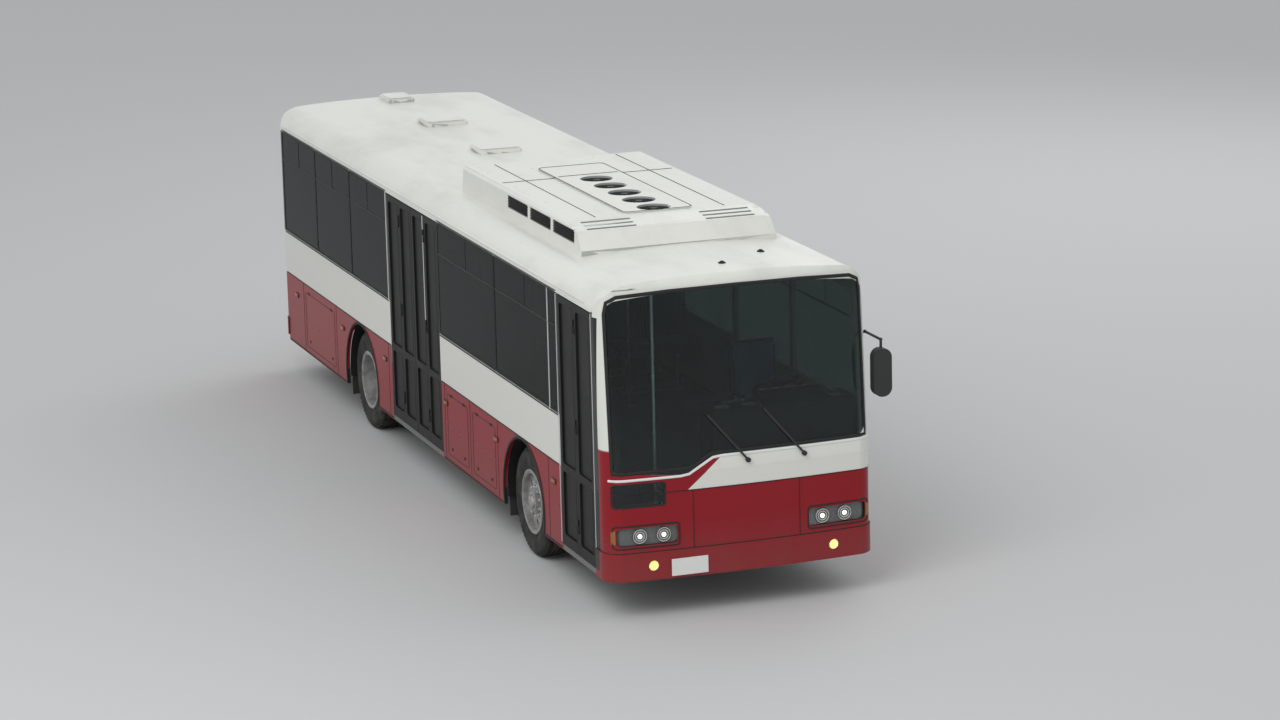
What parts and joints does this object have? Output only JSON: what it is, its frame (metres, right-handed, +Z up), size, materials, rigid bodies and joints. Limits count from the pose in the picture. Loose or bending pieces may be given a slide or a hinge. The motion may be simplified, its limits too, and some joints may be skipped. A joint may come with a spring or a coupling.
{
  "type": "airport passenger bus",
  "caption": "Single-deck airport apron bus: cream and red coachwork, dark glass band, folding doors, roof cooling unit, rail chassis with rear engine.",
  "frame": {"origin": "on the ground under the middle of the coach", "axes": "+X forward along the coach, +Y to the left, +Z up; doors are on the right side, at -Y"},
  "size_m": [11.017, 2.625, 3.2],
  "materials": {
    "tyre": "matt",
    "rim": "satin",
    "glass": "polished",
    "red_paint": "gloss",
    "cream_paint": "gloss",
    "door_frame": "satin",
    "chassis_steel": "matt",
    "tank_metal": "satin",
    "floor_lining": "matt",
    "lamp_lens": "clear",
    "red_lens": "clear",
    "plate_blank": "satin",
    "black_plastic": "matt",
    "seat_cover": "woven",
    "rail_steel": "brushed"
  },
  "bodies": {
    "coach": {"chassis_frame": "chassis_steel", "cross_beams": "chassis_steel", "floor_deck": "floor_lining", "skirts_right": "red_paint", "skirts_left": "red_paint", "wall_right": "cream_paint", "wall_left": "cream_paint", "front_panel": "cream_paint", "rear_panel": "cream_paint", "roof": "cream_paint", "windscreen": "glass", "side_windows_right": "glass", "side_windows_left": "glass", "rear_window": "glass", "front_bumper": "red_paint", "rear_bumper": "red_paint", "front_lamps": "lamp_lens", "tail_lamps": "red_lens", "number_plates": "plate_blank", "ac_pod": "cream_paint", "ac_fans": "black_plastic", "roof_vents": "cream_paint", "side_mirror": "black_plastic", "wipers": "black_plastic", "engine": "chassis_steel", "tanks": "tank_metal", "propshaft": "chassis_steel", "front_axle": "chassis_steel", "rear_axle": "chassis_steel", "springs": "chassis_steel", "dashboard": "black_plastic", "driver_seat": "seat_cover", "passenger_seats": "seat_cover", "grab_rails": "rail_steel"},
    "steering_wheel": {"steering_wheel": "black_plastic"},
    "engine_door": {"engine_door": "red_paint"},
    "front_door_jamb_leaf": {"front_door_jamb_leaf": "door_frame"},
    "front_door_far_leaf": {"front_door_far_leaf": "door_frame"},
    "mid_door_rear_jamb_leaf": {"mid_door_rear_jamb_leaf": "door_frame"},
    "mid_door_rear_far_leaf": {"mid_door_rear_far_leaf": "door_frame"},
    "mid_door_front_jamb_leaf": {"mid_door_front_jamb_leaf": "door_frame"},
    "mid_door_front_far_leaf": {"mid_door_front_far_leaf": "door_frame"},
    "knuckle_left": {"knuckle_left": "chassis_steel"},
    "front_wheel_left": {"front_tyre_left": "tyre", "front_rim_left": "rim"},
    "rear_wheels_left": {"rear_tyres_left": "tyre", "rear_rims_left": "rim"},
    "knuckle_right": {"knuckle_right": "chassis_steel"},
    "front_wheel_right": {"front_tyre_right": "tyre", "front_rim_right": "rim"},
    "rear_wheels_right": {"rear_tyres_right": "tyre", "rear_rims_right": "rim"}
  },
  "joints": [
    {"name": "front_door_jamb_hinge", "type": "hinge", "parent": "coach", "child": "front_door_jamb_leaf", "pos_m": [5.028, -1.225, 1.5], "axis": [0, 0, -1], "range_deg": [0, 85]},
    {"name": "front_door_fold_hinge", "type": "hinge", "parent": "front_door_jamb_leaf", "child": "front_door_far_leaf", "pos_m": [4.6175, -1.251, 1.5], "axis": [0, 0, -1], "range_deg": [-170, 0]},
    {"name": "mid_door_rear_jamb_hinge", "type": "hinge", "parent": "coach", "child": "mid_door_rear_jamb_leaf", "pos_m": [-1.148, -1.225, 1.5], "axis": [0, 0, 1], "range_deg": [0, 85]},
    {"name": "mid_door_rear_fold_hinge", "type": "hinge", "parent": "mid_door_rear_jamb_leaf", "child": "mid_door_rear_far_leaf", "pos_m": [-0.7675, -1.251, 1.5], "axis": [0, 0, 1], "range_deg": [-170, 0]},
    {"name": "mid_door_front_jamb_hinge", "type": "hinge", "parent": "coach", "child": "mid_door_front_jamb_leaf", "pos_m": [0.468, -1.225, 1.5], "axis": [0, 0, -1], "range_deg": [0, 85]},
    {"name": "mid_door_front_fold_hinge", "type": "hinge", "parent": "mid_door_front_jamb_leaf", "child": "mid_door_front_far_leaf", "pos_m": [0.0875, -1.251, 1.5], "axis": [0, 0, -1], "range_deg": [-170, 0]},
    {"name": "steering_left", "type": "hinge", "parent": "coach", "child": "knuckle_left", "pos_m": [3.05, 0.945, 0.51], "axis": [0, 0, 1], "range_deg": [-40, 40]},
    {"name": "front_wheel_left_spin", "type": "hinge", "parent": "knuckle_left", "child": "front_wheel_left", "pos_m": [3.05, 1.04, 0.51], "axis": [0, 1, 0], "continuous": true},
    {"name": "rear_wheels_left_spin", "type": "hinge", "parent": "coach", "child": "rear_wheels_left", "pos_m": [-2.35, 1.04, 0.51], "axis": [0, 1, 0], "continuous": true},
    {"name": "steering_right", "type": "hinge", "parent": "coach", "child": "knuckle_right", "pos_m": [3.05, -0.945, 0.51], "axis": [0, 0, 1], "range_deg": [-40, 40]},
    {"name": "front_wheel_right_spin", "type": "hinge", "parent": "knuckle_right", "child": "front_wheel_right", "pos_m": [3.05, -1.04, 0.51], "axis": [0, 1, 0], "continuous": true},
    {"name": "rear_wheels_right_spin", "type": "hinge", "parent": "coach", "child": "rear_wheels_right", "pos_m": [-2.35, -1.04, 0.51], "axis": [0, 1, 0], "continuous": true},
    {"name": "steering_wheel_turn", "type": "hinge", "parent": "coach", "child": "steering_wheel", "pos_m": [4.64, 0.65, 1.76], "axis": [-0.5736, 0, 0.8192], "range_deg": [-720, 720]},
    {"name": "engine_door_hinge", "type": "hinge", "parent": "coach", "child": "engine_door", "pos_m": [-5.456, 0, 1.478], "axis": [0, 1, 0], "range_deg": [0, 80]}
  ],
  "couplings": [
    {"joint": "front_door_fold_hinge", "follows": "front_door_jamb_hinge", "ratio": -2},
    {"joint": "mid_door_rear_fold_hinge", "follows": "mid_door_rear_jamb_hinge", "ratio": -2},
    {"joint": "mid_door_front_fold_hinge", "follows": "mid_door_front_jamb_hinge", "ratio": -2},
    {"joint": "steering_right", "follows": "steering_left", "ratio": 1},
    {"joint": "steering_wheel_turn", "follows": "steering_left", "ratio": 18}
  ]
}
